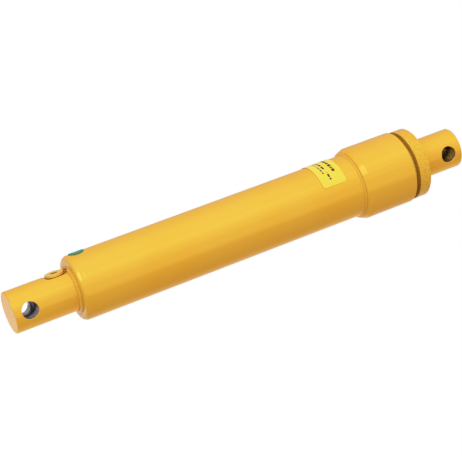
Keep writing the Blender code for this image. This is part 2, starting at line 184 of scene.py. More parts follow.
def rounded(corners):
    """Outline whose corners (x, r, fillet) become arcs. A point's third value is 1 on an arc."""
    points = []
    for i, corner in enumerate(corners):
        here = Vector(corner[:2])
        if len(corner) < 3 or corner[2] <= 0:
            points.append((here.x, here.y, 0.0))
            continue
        before = (Vector(corners[i - 1][:2]) - here).normalized()
        after = (Vector(corners[(i + 1) % len(corners)][:2]) - here).normalized()
        half = before.angle(after) / 2
        reach = corner[2] / math.tan(half)
        centre = here + (before + after).normalized() * corner[2] / math.sin(half)
        start, end = here + before * reach - centre, here + after * reach - centre
        first = math.atan2(start.y, start.x)
        turn = (math.atan2(end.y, end.x) - first + math.pi) % FULL_TURN - math.pi
        support_in = here + before * (reach + 0.4 * corner[2])
        points.append((support_in.x, support_in.y, 0.0))
        for step in range(ARC_STEPS + 1):
            angle = first + turn * step / ARC_STEPS
            arc = centre + corner[2] * Vector((math.cos(angle), math.sin(angle)))
            points.append((arc.x, arc.y, 1.0))
        support_out = here + after * (reach + 0.4 * corner[2])
        points.append((support_out.x, support_out.y, 0.0))
    return points


def run(low, high, r, step):
    """Evenly spaced points of a straight stretch at one radius."""
    count = max(1, round(abs(high - low) / step))
    return [(low + (high - low) * i / count, r) for i in range(count + 1)]


def thread(radius, low, high, lead, depth):
    """Right-hand thread cut into a plain radius between two stations, fading out at both ends.

    A low station one lead below the plain radius leaves the thread whole up to its lower end.
    """
    def shape(x, r, angle):
        if abs(r - radius) > 0.01 or not low <= x <= high:
            return r
        phase = (x / lead + angle / FULL_TURN) % 1.0
        flank = min(1.0, max(0.0, 2.6 * abs(phase - 0.5) - 0.15))
        fade = min(1.0, (x - low) / lead, (high - x) / lead)
        return r - depth * fade * flank
    return shape


def bead(low, high, foot, crown_r, steps, bulge=(1.0, 1.0)):
    """Outline of a weld bead that rises from its foot at the low end to its crown at the high end."""
    angles = [math.pi / 2 * i / steps for i in range(steps + 1)]
    length, rise = high - low, crown_r - foot
    outline = [(low + length * (1 - math.cos(a)) ** bulge[0], foot + rise * math.sin(a) ** bulge[1])
               for a in angles]
    return outline + [(high, foot)]


def ripples(count, depth, foot, crown_r):
    """Overlapping scales around a weld bead, deeper towards its crown."""
    def shape(x, r, angle):
        crown = min(1.0, max(0.0, (r - foot) / (crown_r - foot)))
        wander = 0.35 * math.sin(5 * angle + 1.3) + 0.25 * math.sin(11 * angle)
        scale = (count * angle / FULL_TURN + wander) % 1.0
        return r - depth * crown * (scale ** 2)
    return shape


def circle(x, y, radius, steps):
    """Points of a whole circle."""
    angles = (FULL_TURN * i / steps for i in range(steps))
    return [(x + radius * math.cos(a), y + radius * math.sin(a)) for a in angles]


# ---------------------------------------------------------------- meshes

def finish_mesh(name, bm, edge=None):
    """Turns a bmesh into an object with smooth faces and sharp edges by angle."""
    bmesh.ops.recalc_face_normals(bm, faces=bm.faces)
    mesh = bpy.data.meshes.new(name)
    bm.to_mesh(mesh)
    bm.free()
    if edge:
        attribute = mesh.attributes.new("edge", "FLOAT", "POINT")
        attribute.data.foreach_set("value", edge)
    mesh.shade_smooth()
    mesh.set_sharp_from_angle(angle=SHARP_ANGLE)
    obj = bpy.data.objects.new(name, mesh)
    bpy.context.scene.collection.objects.link(obj)
    return obj


def lathe(name, outline, segments=SEGMENTS, shape=None, start=0.0, end=360.0):
    """Revolves a closed outline about X. A part turn gets flat ends."""
    bm = bmesh.new()
    full = end - start >= 360.0
    steps = segments if full else segments + 1
    angles = [math.radians(start + (end - start) * i / segments) for i in range(steps)]
    rings = []
    edge = []
    for point in outline:
        x, r = point[:2]
        value = point[2] if len(point) > 2 else 0.0
        if r < 1e-6:
            rings.append([bm.verts.new((x * MM, 0.0, 0.0))] * steps)
            edge.append(value)
            continue
        ring = []
        for angle in angles:
            out = (shape(x, r, angle) if shape else r) * MM
            ring.append(bm.verts.new((x * MM, -out * math.cos(angle), out * math.sin(angle))))
            edge.append(value)
        rings.append(ring)
    for i, ring in enumerate(rings):
        following = rings[(i + 1) % len(rings)]
        if ring[0] == ring[-1] and following[0] == following[-1]:
            continue
        for k in range(segments):
            j = (k + 1) % steps
            corners = [ring[k], ring[j], following[j], following[k]]
            bm.faces.new(list(dict.fromkeys(corners)))
    if not full:
        bm.faces.new([ring[0] for ring in rings])
        bm.faces.new([ring[-1] for ring in rings])
    return finish_mesh(name, bm, edge)


def place(obj, matrix):
    """Moves the mesh itself, so that the object stays at the frame's origin."""
    obj.data.transform(matrix)
    return obj


def stand_up(obj, x_mm):
    """Turns a piece revolved about X so that it stands along +Z at a station of the axis."""
    return place(obj, Matrix.Translation((x_mm * MM, 0, 0)) @ Matrix.Rotation(-math.pi / 2, 4, "Y"))


def carve(obj, cutter):
    """Subtracts a cutter from a piece and keeps only the result."""
    modifier = obj.modifiers.new("carve", "BOOLEAN")
    modifier.operation = "DIFFERENCE"
    modifier.solver = "EXACT"
    modifier.object = cutter
    graph = bpy.context.evaluated_depsgraph_get()
    mesh = bpy.data.meshes.new_from_object(obj.evaluated_get(graph))
    obj.modifiers.clear()
    obj.data = mesh
    mesh.shade_smooth()
    mesh.set_sharp_from_angle(angle=SHARP_ANGLE)
    bpy.data.objects.remove(cutter)


def eye_cutter(name, x, bar_r, turn=0.0):
    """Cross pin hole along Y whose lips flare in step with the bar's round surface.

    Its rings lie at depths below that surface, from the bar's middle to a little outside it.
    """
    depths = [bar_r, 8.0, 4.0, 2.0, 1.0, LIP, 0.62 * LIP, 0.32 * LIP, 0.12 * LIP, -0.1, -4.0]
    bm = bmesh.new()
    rows = []
    for side in (1, -1):
        for depth in depths if side > 0 else depths[::-1]:
            ring = []
            share = min(0.95, max(0.0, 1 - depth / LIP))
            r = PIN_HOLE_R + LIP * (1 - math.sqrt(1 - share * share))
            for i in range(SMALL_SEGMENTS):
                angle = FULL_TURN * i / SMALL_SEGMENTS
                surface = math.sqrt(bar_r ** 2 - (r * math.sin(angle)) ** 2)
                y = side * max(0.5 if depth >= bar_r else 1.0, surface - depth)
                ring.append(bm.verts.new((r * math.cos(angle) * MM, y * MM, r * math.sin(angle) * MM)))
            rows.append(ring)
    order = rows[len(depths):] + rows[:len(depths)]
    for low, high in zip(order, order[1:]):
        for i in range(SMALL_SEGMENTS):
            j = (i + 1) % SMALL_SEGMENTS
            bm.faces.new((low[i], low[j], high[j], high[i]))
    bm.faces.new(order[0])
    bm.faces.new(order[-1])
    cutter = finish_mesh(name, bm)
    return place(cutter, Matrix.Translation((x * MM, 0, 0)) @ Matrix.Rotation(turn, 4, "X"))


def port_cutter(name, clearance=0.0, threaded=True):
    """Spotface, O-ring seat, threaded bore and cross drilling of the oil port, standing along Z."""
    low, high = PORT_THREAD_END_Z, SEAT_Z - 0.6
    rim_r = SPOTFACE_R + clearance
    outline = [(40.0, 0.0), (40.0, rim_r), (SPOTFACE_Z + 0.25, rim_r), (SPOTFACE_Z, rim_r - 0.25)]
    outline += [(SPOTFACE_Z, SEAT_R), (SEAT_Z, SEAT_R), (SEAT_Z, PORT_THREAD_R + 0.5)]
    outline += run(high, low, PORT_THREAD_R, 0.14 if threaded else 10.0)
    outline += [(low - 3.0, PORT_DRILL_R), (-4.0, PORT_DRILL_R), (-4.0, 0.0)]
    shape = thread(PORT_THREAD_R, low, high, lead_of("plug_turn"), 0.45) if threaded else None
    return stand_up(lathe(name, outline, SMALL_SEGMENTS, shape), PORT_X)


def wrapped(name, centre_x, centre_angle, outline, low_r, high_r, slices=72):
    """Thin plate cut to a flat outline (x, along the arc) in mm, bent over the barrel."""
    bm = bmesh.new()
    ring = [bm.verts.new((x, s, 0.0)) for x, s in outline]
    bm.faces.new(ring)
    half = max(abs(s) for _, s in outline)
    for i in range(1, slices):
        s = -half + 2 * half * i / slices
        geometry = bm.verts[:] + bm.edges[:] + bm.faces[:]
        bmesh.ops.bisect_plane(bm, geom=geometry, dist=1e-5, plane_co=(0, s, 0), plane_no=(0, 1, 0))
    grown = bmesh.ops.extrude_face_region(bm, geom=bm.faces[:])
    top = {v for v in grown["geom"] if isinstance(v, bmesh.types.BMVert)}
    for vert in bm.verts:
        r = high_r if vert in top else low_r
        angle = centre_angle + vert.co.y / TUBE_R
        x = centre_x + vert.co.x
        vert.co = (x * MM, -r * math.cos(angle) * MM, r * math.sin(angle) * MM)
    return finish_mesh(name, bm)


def rounded_rectangle(width, height, radius, steps=8):
    """Flat outline of a rectangle with round corners, about its centre."""
    points = []
    for quarter in range(4):
        side_x = 1 if quarter in (0, 3) else -1
        side_y = 1 if quarter in (0, 1) else -1
        for step in range(steps + 1):
            angle = math.pi / 2 * (quarter + step / steps)
            x = side_x * (width / 2 - radius) + radius * math.cos(angle)
            y = side_y * (height / 2 - radius) + radius * math.sin(angle)
            points.append((x, y))
    return points


# ---------------------------------------------------------------- materials

class Shader:
    """A material with short calls for the nodes that feed its Principled BSDF.

    Texture scales are counts for each metre, and bump distances are metres.
    """

    def __init__(self, name, **values):
        self.material = bpy.data.materials.new(name)
        self.material.use_nodes = True
        self.tree = self.material.node_tree
        self.principled = self.tree.nodes["Principled BSDF"]
        for socket, value in values.items():
            self.principled.inputs[socket.replace("_", " ")].default_value = value
        self.place = self.node("ShaderNodeTexCoord").outputs["Object"]

    def node(self, kind, inputs=(), **settings):
        made = self.tree.nodes.new(kind)
        for key, value in settings.items():
            setattr(made, key, value)
        for key, value in dict(inputs).items():
            if isinstance(value, bpy.types.NodeSocket):
                self.tree.links.new(value, made.inputs[key])
            else:
                made.inputs[key].default_value = value
        return made

    def link(self, value, socket):
        self.tree.links.new(value, self.principled.inputs[socket])

    def stretched(self, x, y, z):
        """Object coordinates scaled on each axis."""
        return self.node("ShaderNodeMapping", {"Vector": self.place, "Scale": (x, y, z)}).outputs["Vector"]

    def noise(self, scale, detail=2.0, roughness=0.5, vector=None):
        inputs = {"Vector": vector or self.place, "Scale": scale, "Detail": detail, "Roughness": roughness}
        return self.node("ShaderNodeTexNoise", inputs).outputs["Fac"]

    def cells(self, scale):
        inputs = {"Vector": self.place, "Scale": scale}
        return self.node("ShaderNodeTexVoronoi", inputs).outputs["Distance"]

    def math(self, operation, a, b=0.0):
        return self.node("ShaderNodeMath", {0: a, 1: b}, operation=operation).outputs[0]

    def band(self, value, low, high, to_low=0.0, to_high=1.0):
        """Smooth step of a value from one range to another."""
        inputs = {"Value": value, "From Min": low, "From Max": high, "To Min": to_low, "To Max": to_high}
        return self.node("ShaderNodeMapRange", inputs, interpolation_type="SMOOTHSTEP").outputs["Result"]

    def mix(self, factor, a, b):
        made = self.node("ShaderNodeMix", data_type="RGBA")
        for index, value in ((0, factor), (6, a), (7, b)):
            if isinstance(value, bpy.types.NodeSocket):
                self.tree.links.new(value, made.inputs[index])
            elif index == 0:
                made.inputs[index].default_value = value
            else:
                made.inputs[index].default_value = (*value, 1.0)
        return made.outputs[2]

    def bump(self, height, distance, strength=1.0, below=None):
        inputs = {"Height": height, "Distance": distance, "Strength": strength}
        if below:
            inputs["Normal"] = below
        return self.node("ShaderNodeBump", inputs).outputs["Normal"]

    def length(self, a, b):
        """Square root of the sum of two squares."""
        squares = self.math("ADD", self.math("POWER", a, 2.0), self.math("POWER", b, 2.0))
        return self.math("SQRT", squares)

    def axes(self):
        """x along the cylinder, radius from its axis and angle around it, from object coordinates."""
        split = self.node("ShaderNodeSeparateXYZ", {"Vector": self.place}).outputs
        angle = self.math("ARCTAN2", split["Z"], self.math("MULTIPLY", split["Y"], -1.0))
        return split["X"], self.length(split["Y"], split["Z"]), angle


# Paint colours: a pair is the darkest and the palest of its slow drift.
ENAMEL = ((0.93, 0.390, 0.028), (0.94, 0.408, 0.034))
# Duller, darker copy of the enamel under the painted shade of the groove and recesses.
ENAMEL_DULL = ((0.80, 0.415, 0.045), (0.82, 0.43, 0.05))
# Darker copy for welds and creases: painted shade.
ENAMEL_CREASE_SHADE = ((0.775, 0.367, 0.034), (0.79, 0.38, 0.038))
# Darker copy for the cap's face: painted shade between base bar and barrel.
ENAMEL_CAP_SHADE = ((0.53, 0.345, 0.046), (0.56, 0.365, 0.05))
ENAMEL_PLUG = ((0.88, 0.43, 0.045), (0.90, 0.45, 0.05))
ENAMEL_NUT = ((0.92, 0.41, 0.025), (0.96, 0.46, 0.04))
# Paler copy for the relief at the bottom of the nut's groove: painted light.
ENAMEL_RELIEF_LIT = ((0.98, 0.76, 0.18), (0.99, 0.80, 0.20))
ENAMEL_THIN = (0.66, 0.245, 0.014)
ENAMEL_SHADE = (0.20, 0.086, 0.007)
PRIMER = (0.22, 0.12, 0.05)


def enamel(name, peel=0.000006, grain=0.0, grime=0.0, shade=0.0, metallic=0.38, colours=ENAMEL):
    """Sprayed machinery yellow: orange peel, a slow drift of colour, specks, thin paint and chips on edges.

    Grain is the roughness of the metal below. Grime lies in patches. Shade is the share of painted shade,
    a patchy brown that darkens the colour of places where shade falls.
    """
    s = Shader(name, Metallic=metallic, IOR=1.5, Specular_IOR_Level=0.1, Specular_Tint=(1.0, 0.62, 0.2, 1.0),
               Coat_Weight=0.22, Coat_Roughness=0.09)
    colour = s.mix(s.band(s.noise(16.0, 3.0), 0.35, 0.65), *colours)
    edge = s.node("ShaderNodeAttribute", attribute_name="edge").outputs["Fac"]
    patchy = s.band(s.noise(900.0, 4.0, 0.6), 0.35, 0.75)
    thin = s.math("MULTIPLY", edge, s.math("ADD", s.math("MULTIPLY", patchy, 0.25), 0.04))
    colour = s.mix(thin, colour, ENAMEL_THIN)
    chips = s.math("MULTIPLY", edge, s.band(s.noise(420.0, 5.0, 0.7), 0.69, 0.73))
    colour = s.mix(s.math("MULTIPLY", chips, 0.7), colour, PRIMER)
    specks = s.band(s.cells(330.0), 0.0, 0.09, 1.0, 0.0)
    rare = s.band(s.noise(60.0, 1.0), 0.55, 0.7)
    colour = s.mix(s.math("MULTIPLY", s.math("MULTIPLY", specks, rare), 0.35), colour, ENAMEL_THIN)
    if grime:
        patches = s.math("MULTIPLY", s.band(s.noise(700.0, 4.0, 0.6), 0.4, 0.65), grime)
        colour = s.mix(patches, colour, ENAMEL_THIN)
    # Painted shade: a patchy brown mixed in by the share given as shade.
    if shade:
        cover = s.band(s.noise(500.0, 4.0, 0.6), 0.2, 0.8, shade, shade * 0.8)
        colour = s.mix(cover, colour, ENAMEL_SHADE)
    s.link(colour, "Base Color")
    s.link(s.band(s.noise(240.0, 3.0), 0.3, 0.7, 0.12, 0.17), "Roughness")
    normal = s.bump(s.noise(780.0, 2.0, 0.45), peel)
    normal = s.bump(s.noise(120.0, 2.0), 0.00003, 0.3, normal)
    if grain:
        lumps = s.band(s.noise(1000.0, 4.0, 0.6), 0.3, 0.8)
        normal = s.bump(lumps, grain, 1.0, normal)
    s.link(normal, "Normal")
    return s.material


def turned_steel(name, colour, roughness, marks, oil):
    """Machined steel: rings left by the tool along x, fine scratches and a thin uneven film of oil."""
    s = Shader(name, Metallic=1.0, Roughness=roughness)
    rings = s.noise(1.0, 6.0, 0.7, s.stretched(2600.0, 6.0, 6.0))
    scratches = s.noise(1.0, 4.0, 0.6, s.stretched(90.0, 1500.0, 1500.0))
    tone = s.mix(s.band(rings, 0.3, 0.7), [c * 0.82 for c in colour], colour)
    tone = s.mix(s.band(scratches, 0.6, 0.75, 0.0, 0.25), tone, [min(1.0, c * 1.3) for c in colour])
    film = s.band(s.noise(45.0, 4.0), 0.4, 0.7)
    tone = s.mix(s.math("MULTIPLY", film, oil), tone, (0.10, 0.075, 0.045))
    s.link(tone, "Base Color")
    s.link(s.band(film, 0.0, 1.0, roughness, roughness * 0.65), "Roughness")
    s.link(s.bump(rings, marks, 1.0, s.bump(scratches, marks * 0.3)), "Normal")
    return s.material


def eye_steel(name, dark, light, middle, tilt, reach, drill):
    """Drilled wall of a pin eye: drill rings, streaks and a dark, tilted band of painted shade.

    Middle and reach are mm: how far from the cylinder's axis the band is darkest, and where it ends.
    """
    s = Shader(name, Metallic=0.85, Specular_IOR_Level=0.2, Specular_Tint=(0.35, 0.33, 0.35, 1.0))
    split = s.node("ShaderNodeSeparateXYZ", {"Vector": s.place}).outputs
    rings = s.noise(1.0, 5.0, 0.7, s.stretched(20.0, drill, 20.0))
    streaks = s.noise(1.0, 4.0, 0.6, s.stretched(420.0, 50.0, 420.0))
    # Painted shade: a dark band at a depth in the hole that moves with height, fading to the light colour
    # away from it.
    centre = s.math("ADD", s.math("MULTIPLY", split["Z"], tilt), middle * MM)
    away = s.math("ABSOLUTE", s.math("SUBTRACT", s.math("ABSOLUTE", split["Y"]), centre))
    away = s.math("ADD", away, s.math("MULTIPLY", s.noise(130.0, 3.0), 4.0 * MM))
    steel = s.mix(s.band(away, 3.0 * MM, reach * MM), dark, light)
    steel = s.mix(s.band(streaks, 0.45, 0.7, 0.0, 0.5), steel, dark)
    steel = s.mix(s.band(rings, 0.5, 0.7, 0.0, 0.35), steel, light)
    steel = s.mix(s.band(rings, 0.3, 0.48, 0.6, 0.0), steel, dark)
    s.link(steel, "Base Color")
    s.link(s.band(streaks, 0.3, 0.7, 0.28, 0.45), "Roughness")
    s.link(s.bump(rings, 0.00006), "Normal")
    return s.material


def bronze():
    """Bearing bronze with tool rings and a darker patina in patches."""
    s = Shader("bronze", Metallic=1.0, Roughness=0.35)
    rings = s.noise(1.0, 6.0, 0.7, s.stretched(2200.0, 8.0, 8.0))
    patina = s.noise(70.0, 4.0)
    tone = s.mix(s.band(patina, 0.35, 0.7), (0.66, 0.41, 0.16), (0.42, 0.25, 0.10))
    s.link(s.mix(s.band(rings, 0.3, 0.7, 0.0, 0.3), tone, (0.78, 0.52, 0.24)), "Base Color")
    s.link(s.band(patina, 0.3, 0.7, 0.28, 0.45), "Roughness")
    s.link(s.bump(rings, 0.00003), "Normal")
    return s.material


def woven(name, light, dark, roughness, thread_mm=0.55):
    """Resin or rubber over cloth: a fine weave around the ring, with worn high threads."""
    s = Shader(name, Roughness=roughness)
    x, radius, angle = s.axes()
    around = s.math("MULTIPLY", angle, radius)
    fine = FULL_TURN / (thread_mm * MM)
    warp = s.math("SINE", s.math("MULTIPLY", around, fine))
    weft = s.math("SINE", s.math("MULTIPLY", s.math("ADD", x, radius), fine))
    weave = s.math("MULTIPLY", warp, weft)
    stain = s.noise(180.0, 4.0)
    tone = s.mix(s.band(weave, -0.8, 0.8), dark, light)
    s.link(s.mix(s.band(stain, 0.4, 0.75, 0.0, 0.5), tone, dark), "Base Color")
    s.link(s.band(stain, 0.3, 0.7, roughness - 0.08, roughness + 0.1), "Roughness")
    s.link(s.bump(weave, 0.00005, 0.8), "Normal")
    return s.material


def moulded(name, colour, roughness, wear, grain):
    """Moulded elastomer: soft mottle, matt grain and a bloom of dust."""
    s = Shader(name, Roughness=roughness)
    mottle = s.noise(120.0, 4.0)
    dust = s.band(s.noise(700.0, 5.0, 0.65), 0.55, 0.8)
    tone = s.mix(s.band(mottle, 0.35, 0.7), colour, [c * 0.7 for c in colour])
    s.link(s.mix(s.math("MULTIPLY", dust, 0.3), tone, wear), "Base Color")
    s.link(s.band(mottle, 0.3, 0.7, roughness - 0.07, roughness + 0.1), "Roughness")
    s.link(s.bump(s.noise(1600.0, 3.0), grain), "Normal")
    return s.material


def blackened():
    """Black-oxide spring steel, rubbed to brown and grey in places."""
    s = Shader("black_oxide", Metallic=0.8, Roughness=0.42)
    rub = s.noise(260.0, 5.0, 0.65)
    s.link(s.mix(s.band(rub, 0.5, 0.75), (0.045, 0.043, 0.042), (0.21, 0.18, 0.15)), "Base Color")
    s.link(s.band(rub, 0.3, 0.8, 0.5, 0.3), "Roughness")
    s.link(s.bump(s.noise(1800.0, 3.0), 0.00001), "Normal")
    return s.material


def vinyl():
    """Bright yellow vinyl film with a slight drift of colour and faint creases."""
    s = Shader("label_vinyl", Roughness=0.28, Specular_IOR_Level=0.25, Coat_Weight=0.2, Coat_Roughness=0.1)
    tint = s.noise(90.0, 3.0)
    tone = s.mix(s.band(tint, 0.3, 0.7), (0.96, 0.60, 0.020), (0.98, 0.66, 0.035))
    s.link(tone, "Base Color")
    s.link(s.band(s.noise(300.0, 3.0), 0.3, 0.7, 0.22, 0.36), "Roughness")
    s.link(s.bump(s.noise(1.0, 3.0, 0.5, s.stretched(160.0, 420.0, 420.0)), 0.00004, 0.6), "Normal")
    return s.material


def label_ink():
    """Dark print with uneven cover."""
    s = Shader("label_ink", Roughness=0.4, Specular_IOR_Level=0.12)
    cover = s.noise(1500.0, 4.0, 0.6)
    s.link(s.mix(s.band(cover, 0.4, 0.75), (0.020, 0.017, 0.006), (0.13, 0.10, 0.015)), "Base Color")
    s.link(s.band(cover, 0.3, 0.7, 0.34, 0.5), "Roughness")
    s.link(s.bump(cover, 0.00001), "Normal")
    return s.material


def dot_paper(centre_x, centre_angle):
    """Green paper sticker with a paler oval in its middle and fibres in its surface."""
    s = Shader("dot_paper", Roughness=0.45, Specular_IOR_Level=0.2)
    x, _, angle = s.axes()
    along = s.math("DIVIDE", s.math("SUBTRACT", x, centre_x * MM), 4.4 * MM)
    arc = s.math("MULTIPLY", s.math("SUBTRACT", angle, centre_angle), TUBE_R * MM)
    away = s.length(along, s.math("DIVIDE", arc, 3.6 * MM))
    fibres = s.noise(900.0, 4.0, 0.6)
    uneven = s.math("ADD", away, s.math("MULTIPLY", fibres, 0.25))
    green = s.mix(s.band(fibres, 0.3, 0.7), (0.006, 0.145, 0.085), (0.012, 0.19, 0.115))
    s.link(s.mix(s.band(uneven, 0.85, 1.25, 0.75, 0.0), green, (0.13, 0.30, 0.20)), "Base Color")
    s.link(s.band(fibres, 0.3, 0.7, 0.4, 0.6), "Roughness")
    s.link(s.bump(fibres, 0.00002), "Normal")
    return s.material


# ---------------------------------------------------------------- pieces

def adopt(piece, node, *materials, choose=None):
    """The piece stands for a CAD node, rides on its body and takes its finish.

    choose(centre of a face in mm, its normal) says which of the materials the face has.
    """
    for material in materials:
        piece.data.materials.append(material)
    if choose:
        for face in piece.data.polygons:
            face.material_index = materials.index(choose(face.center / MM, face.normal))
    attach(piece, BODY_OF[node])
    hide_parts(node)


def from_axis(point):
    return math.hypot(point.y, point.z)


def build_base_stub(paint, bare, eye, shaded, face_paint):
    """Base bar with its pin eye, oil port and the passage into the barrel."""
    covered = CAP_LOW + 0.1
    outline = [(STUB_LOW, 0.0), (STUB_LOW, STUB_R, 1.1)] + run(STUB_LOW + 4, covered, STUB_R, 2.5)
    outline += run(covered, STUB_HIGH - 4, STUB_R, 5.0)[1:]
    outline = rounded(outline + [(STUB_HIGH, STUB_R, 1.0), (STUB_HIGH, 0.0)])
    stub = lathe("base_stub_piece", outline)
    carve(stub, eye_cutter("eye", 0.0, STUB_R))
    carve(stub, port_cutter("port"))
    passage = [(PORT_X, 0.0), (PORT_X, PASSAGE_R), (STUB_HIGH + 2, PASSAGE_R), (STUB_HIGH + 2, 0.0)]
    carve(stub, lathe("passage", passage, SMALL_SEGMENTS))

    def choose(centre, normal):
        from_port = math.hypot(centre.x - PORT_X, centre.y)
        above = centre.z > SPOTFACE_Z - 0.1
        if math.hypot(centre.x, centre.z) < PIN_HOLE_R + 0.05:
            return eye
        # Painted shade on the spotface's floor and wall around the plug.
        if above and from_port < SPOTFACE_R + 0.05 and (from_port < SPOTFACE_R - 0.3 or abs(normal.z) < 0.3):
            return shaded
        if centre.x > covered or from_port < SEAT_R + 0.05 and centre.z > -8 and not above:
            return bare
        return face_paint if centre.x < STUB_LOW + 0.05 else paint

    adopt(stub, "base_stub", paint, bare, eye, shaded, face_paint, choose=choose)


def build_base_cap(paint, bare, weld):
    """Ring that closes the barrel, its seam, and the fillet weld between ring and base bar."""
    seam_inner = SEAM_R - SEAM_DEPTH
    plug_r = TUBE_BORE_R - GAP
    cap = rounded([
        (CAP_LOW, STUB_R + GAP), (CAP_LOW, seam_inner - 0.08), (SEAM_HIGH + GAP, seam_inner + 0.45),
        (SEAM_HIGH + GAP, plug_r), (CAP_HIGH, plug_r, 0.5), (CAP_HIGH, STUB_R + GAP),
    ])

    def choose(centre, normal):
        # The face takes the darker cap paint: painted shade.
        return bare if centre.x > CAP_LOW + 2 else paint

    adopt(lathe("base_cap_piece", cap), "base_cap", paint, bare, choose=choose)

    middle = (SEAM_R + seam_inner) / 2
    seam = [(SEAM_LOW, seam_inner + SEAM_DEPTH * i / 8) for i in range(8)]
    seam += [(SEAM_LOW, SEAM_R), (SEAM_HIGH, middle + 0.65), (SEAM_HIGH, middle - 0.65)]
    adopt(lathe("cap_weld_piece", seam), "cap_weld", weld)

    low, _, crown_r = extent("base_weld")
    foot = STUB_R + GAP
    outline = bead(low, CAP_LOW - TOUCH, foot, crown_r, 10, bulge=(0.9, 0.85))
    fillet = lathe("base_weld_piece", outline, FINE_SEGMENTS, ripples(44, 0.28, foot, crown_r))
    carve(fillet, port_cutter("port_at_weld", GAP, threaded=False))
    adopt(fillet, "base_weld", weld)


def build_tube(paint, bare, weld):
    """Barrel with its worn, rounded base edge."""
    corner = rounded([
        (SEAM_HIGH + GAP, SEAM_R - 0.3), (TUBE_LOW, SEAM_R + 0.1), (TUBE_LOW, 26.9, 0.4),
        (TUBE_LOW + 0.4, 28.1, 0.5), (TUBE_LOW + 1.2, 28.95, 0.5), (TUBE_LOW + 2.3, 29.45, 0.2),
        (TUBE_LOW + 3.4, 30.0, 0.3), (TUBE_LOW + 6.4, TUBE_R - 0.1, 0.2), (TUBE_LOW + 7.0, TUBE_R, 0.2),
        (TUBE_LOW + 9.0, TUBE_R),
    ])
    tube = corner[1:] + run(TUBE_LOW + 9.0, TUBE_HIGH, TUBE_R, 20.0)[1:]
    tube += [(TUBE_HIGH, TUBE_BORE_R), (SEAM_HIGH + GAP, TUBE_BORE_R), (SEAM_HIGH + GAP, SEAM_R - 0.3)]

    def choose(centre, normal):
        if from_axis(centre) < TUBE_BORE_R + 0.1:
            return bare
        # Painted shade: the darker weld paint on the barrel's base edge and on its underside near that edge.
        shaded_below = centre.x < TUBE_LOW + 3 and centre.z < -20
        return weld if centre.x < TUBE_LOW + 1.3 or shaded_below else paint

    piece = lathe("barrel_tube_piece", tube, FINE_SEGMENTS)
    adopt(piece, "barrel_tube", paint, bare, weld, choose=choose)


def build_housing(paint, bare, shaded, weld):
    """Gland housing with a rounded shoulder and an inside thread, and the weld at its foot."""
    socket = TUBE_R + GAP
    web_low = TUBE_HIGH + GAP
    web_high = web_low + WEB_LENGTH
    weld_low, _, weld_r = extent("gland_weld")
    housing = rounded([
        (HOUSING_LOW, socket), (HOUSING_LOW, weld_r), (HOUSING_LOW + 0.2, weld_r + 1.2, 0.5),
        (HOUSING_LOW + 5.6, HOUSING_R - 0.1, 0.5), (HOUSING_LOW + 6.7, HOUSING_R, 0.5),
        (HOUSING_LOW + 9, HOUSING_R),
    ])
    housing += run(HOUSING_LOW + 9, HOUSING_HIGH - 4, HOUSING_R, 8.0)[1:-1]
    housing += rounded([
        (HOUSING_HIGH - 4, HOUSING_R), (RIM, HOUSING_R, 0.7), (RIM, THREAD_R, 0.7), (RIM - 1.5, THREAD_R),
    ])
    housing += run(RIM - 1.6, THREAD_START, THREAD_R, 0.16)
    housing += [(THREAD_START, CHAMBER_R), (web_high, CHAMBER_R), (web_high, WEB_BORE_R)]
    housing += [(web_low, WEB_BORE_R), (web_low, socket)]
    cut = thread(THREAD_R, THREAD_START, RIM - 1.6, lead_of("nut_turn"), 0.75)

    def choose(centre, normal):
        if centre.x > HOUSING_LOW + 1 and from_axis(centre) < THREAD_R + 0.02:
            return bare
        # Painted shade on the housing's end at the groove.
        if centre.x > RIM - 0.5:
            return shaded
        # Painted shade: the darker weld paint at the foot of the shoulder.
        return weld if centre.x < HOUSING_LOW + 0.6 else paint

    piece = lathe("gland_housing_piece", housing, SEGMENTS, cut)
    adopt(piece, "gland_housing", paint, bare, shaded, weld, choose=choose)

    foot = TUBE_R + TOUCH
    outline = bead(weld_low, HOUSING_LOW - TOUCH, foot, weld_r, 6)
    scales = ripples(70, 0.1, foot, weld_r)
    adopt(lathe("gland_weld_piece", outline, FINE_SEGMENTS, scales), "gland_weld", weld)


